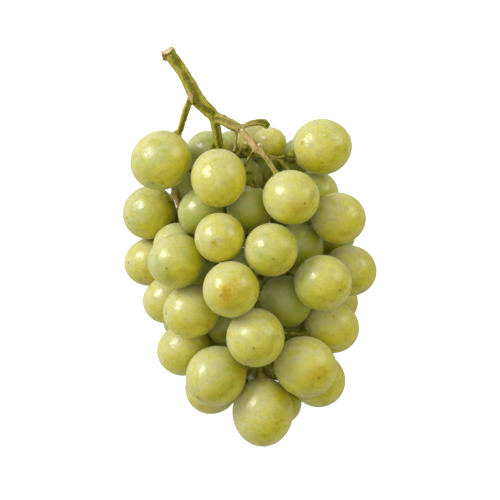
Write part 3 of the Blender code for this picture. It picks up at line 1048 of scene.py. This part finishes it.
class StalkPlaces:
    """For each point of the stem: the nearest stalk line, how far along it and at what angle round it."""

    def __init__(self, points):
        count = len(points)
        self.distance = np.full(count, np.inf)
        self.line = np.zeros(count, int)
        self.along = np.zeros(count)
        self.angle = np.zeros(count)
        self.radius = np.full(count, 1.0)
        self.lengths = []
        for number, (stalk, _, _, _) in enumerate(STALK_LINES):
            start_at = 0.0
            for start, end in zip(stalk[:-1], stalk[1:]):
                self.measure(points, number, np.array(start), np.array(end), start_at)
                start_at += float(np.linalg.norm(np.array(end[:3]) - np.array(start[:3])))
            self.lengths.append(start_at)

    def measure(self, points, number, start, end, start_at):
        span = end[:3] - start[:3]
        length = np.linalg.norm(span)
        share = np.clip((points - start[:3]) @ span / length**2, 0, 1)
        away = points - (start[:3] + share[:, None] * span)
        distance = np.linalg.norm(away, axis=1)
        radius = start[3] + share * (end[3] - start[3])
        nearer = distance - radius < self.distance - self.radius
        tangent = span / length
        first = np.array((0.0, 0.0, 1.0)) - tangent[2] * tangent
        first /= np.linalg.norm(first)
        second = np.cross(tangent, first)
        self.distance[nearer] = distance[nearer]
        self.radius[nearer] = radius[nearer]
        self.line[nearer] = number
        self.along[nearer] = (start_at + share * length)[nearer]
        self.angle[nearer] = np.arctan2(away @ second, away @ first)[nearer]

    def hold(self):
        """1 on the bark of the stalk lines, falling to 0 away from them."""
        return 1 - smoothstep(0.4, 1.4, self.distance - self.radius)

    def woodiness(self):
        start, end = np.array([line[1:3] for line in STALK_LINES]).T
        share = self.along / np.array(self.lengths)[self.line]
        return start[self.line] + share * (end - start)[self.line]


def sculpt_bark(mesh, settings):
    """Raises ridges, warts and torn edges on the stem, and paints where each kind of bark is, among them
    marks of painted shade and painted highlight.
    """
    rng = np.random.default_rng(11)
    points = mesh_points(mesh)
    normals = mesh_normals(mesh)
    spots = points / MM
    places = StalkPlaces(spots)
    hold = places.hold()
    ridges = np.array([line[3] for line in STALK_LINES])[places.line]
    wander = 0.5 * np.sin(places.along / 5.1) + 0.4 * np.sin(places.along / 2.3 + places.line)
    crest = 0.5 - 0.5 * np.cos(ridges * places.angle + wander)
    crest = hold * crest + (1 - hold) * (0.5 + 0.25 * waves(spots, rng, 6, 2.5))
    lift = settings.ridge_height * (places.radius / 2.4) * (crest - 0.2) * hold
    lift += 0.08 * MM * waves(spots, rng, 8, 1.6)
    lift += 0.12 * MM * waves(spots, rng, 6, 5.0) * hold
    cut = np.where(places.line == 0, 1 - smoothstep(0.2, 1.1, places.along), 0.0)
    cut = np.maximum(cut * smoothstep(0.2, 0.7, normals @ cut_direction()), 0)
    lift += cut * 0.25 * MM * waves(spots, rng, 10, 0.9)
    torn = 1.5 + 0.7 * waves(spots, rng, 6, 2.2)
    cut = np.maximum(cut, np.where(places.line == 0, 1 - smoothstep(torn - 0.4, torn + 0.3, places.along), 0))
    around = np.stack((np.cos(places.angle), np.sin(places.angle)), axis=1) * places.radius[:, None]
    grain = np.concatenate((around, 0.16 * places.along[:, None] + 7 * places.line[:, None]), axis=1)
    loose = hold < 0.5
    grain[loose] = spots[loose]
    paint(mesh, "crest", np.clip(crest, 0, 1))
    paint(mesh, "woody", places.woodiness() * hold + 0.22 * (1 - hold))
    paint(mesh, "cut_face", cut)
    paint_vectors(mesh, "grain", grain)
    for kind in ("pink", "pale", "umber_and_painted_shade", "amber", "dark_nick_and_shade"):
        marks = bark_marks(kind, spots, normals, rng)
        paint(mesh, kind + "_mark", marks)
        if kind == "dark_nick_and_shade":
            lift -= 0.25 * MM * marks
    set_mesh_points(mesh, points + normals * lift[:, None])


def bark_marks(kind, spots, normals, rng):
    """How strongly each point of the stem is marked with one of the mark colours."""
    total = np.zeros(len(spots))
    edge = 0.25 * waves(spots, rng, 6, 1.2)
    for x, y, half_length, half_width, turn, color in BARK_MARKS:
        if color == kind:
            sine, cosine = math.sin(math.radians(turn)), math.cos(math.radians(turn))
            east, north = spots[:, 0] - x, spots[:, 1] - y
            lengthwise = (east * cosine + north * sine) / half_length
            sideways = (north * cosine - east * sine) / half_width
            total = np.maximum(total, 1 - smoothstep(0.6, 1.2, np.hypot(lengthwise, sideways) + edge))
    upper = smoothstep(34, 36, spots[:, 2]) * smoothstep(-0.3, 0.1, normals[:, 2])
    return total * upper


def cut_direction():
    """Out of the cut end, along its stalk."""
    along = np.array(CUT_STALK[0][:3]) - np.array(CUT_STALK[1][:3])
    return along / np.linalg.norm(along)


def stem_bark(settings):
    """Green ridged bark, painted darker in the grooves as painted shade, that turns tan and brown where it is
    woody, and pale torn wood at the cut; some small marks are painted shade and some painted highlights.
    """
    recipe = Recipe("stem_bark")
    where = recipe.place()
    grain = recipe.node("ShaderNodeAttribute", {"attribute_name": "grain"}).outputs["Vector"]
    across = recipe.node("ShaderNodeMapping", Vector=grain, Scale=(0.35, 0.35, 9.0)).outputs["Vector"]
    streaks = recipe.noise(grain, 1.3, 5.0, 0.65, 0.3)
    wrinkles = recipe.noise(across, 1.1, 3.0, 0.6, 0.4)
    patches = recipe.noise(where, 0.26, 4.0, 0.6, 0.5)
    worn = recipe.math("SUBTRACT", patches, 0.5)
    tone = recipe.math("ADD", recipe.painted("crest"), recipe.math("MULTIPLY", worn, 2.2))
    lines = recipe.spread(recipe.math("ADD", tone, recipe.math("SUBTRACT", streaks, 0.5)), 0.05, 0.95)
    # Painted shade in the grooves: crests take the green, grooves the darker groove colour, broken by random
    # streaks and patches
    color = recipe.blend(lines, tuple(settings.painted_groove_shade), tuple(settings.green))
    woody = recipe.math("ADD", recipe.painted("woody"), worn)
    woody = recipe.spread(woody, 0.1, 0.8, 0.0, 0.9)
    bark = recipe.blend(recipe.spread(streaks, 0.30, 0.55), tuple(settings.brown), tuple(settings.tan))
    color = recipe.blend(woody, color, bark)
    raised = recipe.spread(lines, 0.3, 0.9, 0.0, 0.55)
    scales = recipe.math("MULTIPLY", recipe.spread(wrinkles, 0.50, 0.66), raised)
    color = recipe.blend(scales, color, tuple(settings.tan))
    cracks = recipe.spread(wrinkles, 0.30, 0.40, 0.5, 0.0)
    color = recipe.blend(cracks, color, tuple(settings.painted_groove_shade))
    color = recipe.stain(color, "pink_mark", settings.pink, 0.85)
    fibres = recipe.blend(recipe.spread(streaks, 0.40, 0.60), tuple(settings.tan), tuple(settings.cut))
    color = recipe.blend(recipe.painted("cut_face"), color, fibres)
    # Umber marks: painted shade under the branches, and one nick
    color = recipe.stain(color, "umber_and_painted_shade_mark", settings.umber_and_painted_shade, 0.85)
    # Dark marks: nicks and dead ends, and painted shade in the crotch of the fork
    color = recipe.stain(color, "dark_nick_and_shade_mark", settings.dark_nick_and_shade)
    color = recipe.stain(color, "amber_mark", settings.amber)
    # Pale marks: small bare spots, and painted highlights on the knob and the cut end
    color = recipe.stain(color, "pale_mark", settings.pale)
    hills = recipe.math("ADD", recipe.math("MULTIPLY", streaks, 0.7), recipe.math("MULTIPLY", wrinkles, 0.8))
    bump = recipe.node("ShaderNodeBump", Height=hills, Strength=0.45, Distance=0.18 * MM)
    shader = recipe.node(
        "ShaderNodeBsdfPrincipled",
        Base_Color=color,
        Roughness=recipe.spread(streaks, 0.3, 0.7, 0.42, 0.66),
        Normal=bump.outputs["Normal"],
        Subsurface_Weight=0.15,
        Subsurface_Radius=(1.0, 0.8, 0.2),
        Subsurface_Scale=0.5 * MM,
        Specular_IOR_Level=0.35,
        IOR=1.4,
    )
    return recipe.finish(shader.outputs["BSDF"])


class GRAPES_OT_stem(bpy.types.Operator):
    """Make the stem: ridged bark, a torn cut end and a collar at every berry"""

    bl_idname = "grapes.stem"
    bl_label = "Stem"
    bl_options = {"REGISTER", "UNDO"}

    def execute(self, context):
        settings = context.scene.grape_stem
        pattern = model_collar(settings)
        collars = place_collars(pattern)
        bpy.data.objects.remove(pattern, do_unlink=True)
        stem = stem_copy()
        join(stem, collars + torn_fibres())
        apply_modifier(stem, "REMESH", mode="VOXEL", voxel_size=settings.grain)
        apply_modifier(stem, "SMOOTH", factor=0.5, iterations=4)
        sculpt_bark(stem.data, settings)
        stem.data.materials.clear()
        stem.data.materials.append(stem_bark(settings))
        select_only(stem)
        bpy.ops.object.shade_smooth()
        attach(stem, BODY)
        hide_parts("stem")
        return {"FINISHED"}


# Stage ------------------------------------------------------------------------------------------


def floor_paper(settings):
    """Matt pale card that shows white where it is looked at, without lighting the bunch from below."""
    recipe = Recipe("floor_paper")
    where = recipe.place()
    tone = recipe.spread(recipe.noise(where, 0.02, 2.0), 0.3, 0.7, 0.0, 0.02)
    color = recipe.blend(tone, tuple(settings.floor_color), FLOOR_SHADE)
    seen = recipe.node("ShaderNodeLightPath").outputs["Is Camera Ray"]
    shader = recipe.node(
        "ShaderNodeBsdfPrincipled",
        Base_Color=color,
        Roughness=0.8,
        Emission_Color=(1, 1, 1, 1),
        Emission_Strength=recipe.math("MULTIPLY", seen, settings.floor_glow),
    )
    return recipe.finish(shader.outputs["BSDF"])


def light_sky(tree, settings):
    """Even light from above: faint at the horizon, dimmer in reflections, white where it is looked at."""
    background = tree.nodes["Background"]
    background.inputs["Color"].default_value = (1, 1, 1, 1)
    heading = tree.nodes.new("ShaderNodeTexCoord").outputs["Generated"]
    parts = tree.nodes.new("ShaderNodeSeparateXYZ")
    fade = tree.nodes.new("ShaderNodeMapRange")
    fade.inputs["To Min"].default_value = settings.horizon
    fade.inputs["To Max"].default_value = settings.sky
    path = tree.nodes.new("ShaderNodeLightPath")
    dim = tree.nodes.new("ShaderNodeMapRange")
    dim.inputs["To Min"].default_value = 1.0
    dim.inputs["To Max"].default_value = settings.reflection
    dimmed = tree.nodes.new("ShaderNodeMath")
    dimmed.operation = "MULTIPLY"
    strength = tree.nodes.new("ShaderNodeMath")
    strength.operation = "MAXIMUM"
    tree.links.new(heading, parts.inputs["Vector"])
    tree.links.new(parts.outputs["Z"], fade.inputs["Value"])
    tree.links.new(path.outputs["Is Glossy Ray"], dim.inputs["Value"])
    tree.links.new(fade.outputs["Result"], dimmed.inputs[0])
    tree.links.new(dim.outputs["Result"], dimmed.inputs[1])
    tree.links.new(dimmed.outputs["Value"], strength.inputs[0])
    tree.links.new(path.outputs["Is Camera Ray"], strength.inputs[1])
    tree.links.new(strength.outputs["Value"], background.inputs["Strength"])


def add_softbox(name, towards, size, power):
    """A square area light that faces the bunch from the direction given."""
    middle = Vector((0, 0, LIT_HEIGHT))
    direction = Vector(towards).normalized()
    bpy.ops.object.light_add(type="AREA", location=middle + direction * LIGHT_DISTANCE)
    light = bpy.context.object
    light.name = name
    light.data.shape = "SQUARE"
    light.data.size = size
    light.data.energy = power
    light.rotation_euler = direction.to_track_quat("Z", "Y").to_euler()
    light.visible_camera = False


class GRAPES_OT_stage(bpy.types.Operator):
    """Make the pale floor, the soft light and the camera"""

    bl_idname = "grapes.stage"
    bl_label = "Stage"
    bl_options = {"REGISTER", "UNDO"}

    def execute(self, context):
        settings = context.scene.grape_stage
        deselect_all()
        bpy.ops.mesh.primitive_plane_add(size=FLOOR_SIZE, location=(0, 0, 0))
        floor = context.object
        floor.name = "floor"
        floor.data.materials.append(floor_paper(settings))
        world = bpy.data.worlds.new("sky")
        world.use_nodes = True
        light_sky(world.node_tree, settings)
        context.scene.world = world
        add_softbox("key_light", KEY_TOWARDS, KEY_SIZE, settings.key_power)
        add_softbox("fill_light", FILL_TOWARDS, FILL_SIZE, settings.fill_power)
        middle = (Vector(CAD_BOX[0]) + Vector(CAD_BOX[1])) / 2
        x = middle.x + CAMERA_ASIDE[0]
        y = middle.y + CAMERA_ASIDE[1]
        bpy.ops.object.camera_add(location=(x, y, settings.camera_height), rotation=(0, 0, 0))
        camera = context.object
        camera.data.sensor_width = SENSOR_WIDTH
        camera.data.lens = settings.lens
        camera.data.clip_start = 0.05
        camera.data.clip_end = 20
        context.scene.camera = camera
        context.scene.view_settings.view_transform = "Standard"
        return {"FINISHED"}


class GRAPES_PT_panel(bpy.types.Panel):
    """Buttons for each step and the sizes and colours that they use"""

    bl_idname = "GRAPES_PT_panel"
    bl_label = "Bunch of grapes"
    bl_space_type = "VIEW_3D"
    bl_region_type = "UI"
    bl_category = "Grapes"

    def draw(self, context):
        layout = self.layout
        for operator in OPERATORS:
            layout.operator(operator.bl_idname)
        for group in ("grape_berries", "grape_stem", "grape_stage"):
            box = layout.box()
            settings = getattr(context.scene, group)
            for name in settings.__annotations__:
                box.prop(settings, name)


OPERATORS = (
    GRAPES_OT_front_berries,
    GRAPES_OT_side_berries,
    GRAPES_OT_inner_berries,
    GRAPES_OT_back_berries,
    GRAPES_OT_stem,
    GRAPES_OT_stage,
)
CLASSES = (BerrySettings, StemSettings, StageSettings, *OPERATORS, GRAPES_PT_panel)


def register():
    for item in CLASSES:
        bpy.utils.register_class(item)
    bpy.types.Scene.grape_berries = PointerProperty(type=BerrySettings)
    bpy.types.Scene.grape_stem = PointerProperty(type=StemSettings)
    bpy.types.Scene.grape_stage = PointerProperty(type=StageSettings)


def unregister():
    del bpy.types.Scene.grape_stage
    del bpy.types.Scene.grape_stem
    del bpy.types.Scene.grape_berries
    for item in reversed(CLASSES):
        bpy.utils.unregister_class(item)


def main():
    for obj in list(bpy.data.objects):
        if obj.type in ("CAMERA", "LIGHT") or obj.name == "Cube":
            bpy.data.objects.remove(obj, do_unlink=True)
    register()
    bpy.ops.grapes.front_berries()
    bpy.ops.grapes.side_berries()
    bpy.ops.grapes.inner_berries()
    bpy.ops.grapes.back_berries()
    bpy.ops.grapes.stem()
    bpy.ops.grapes.stage()


if __name__ == "__main__":
    main()
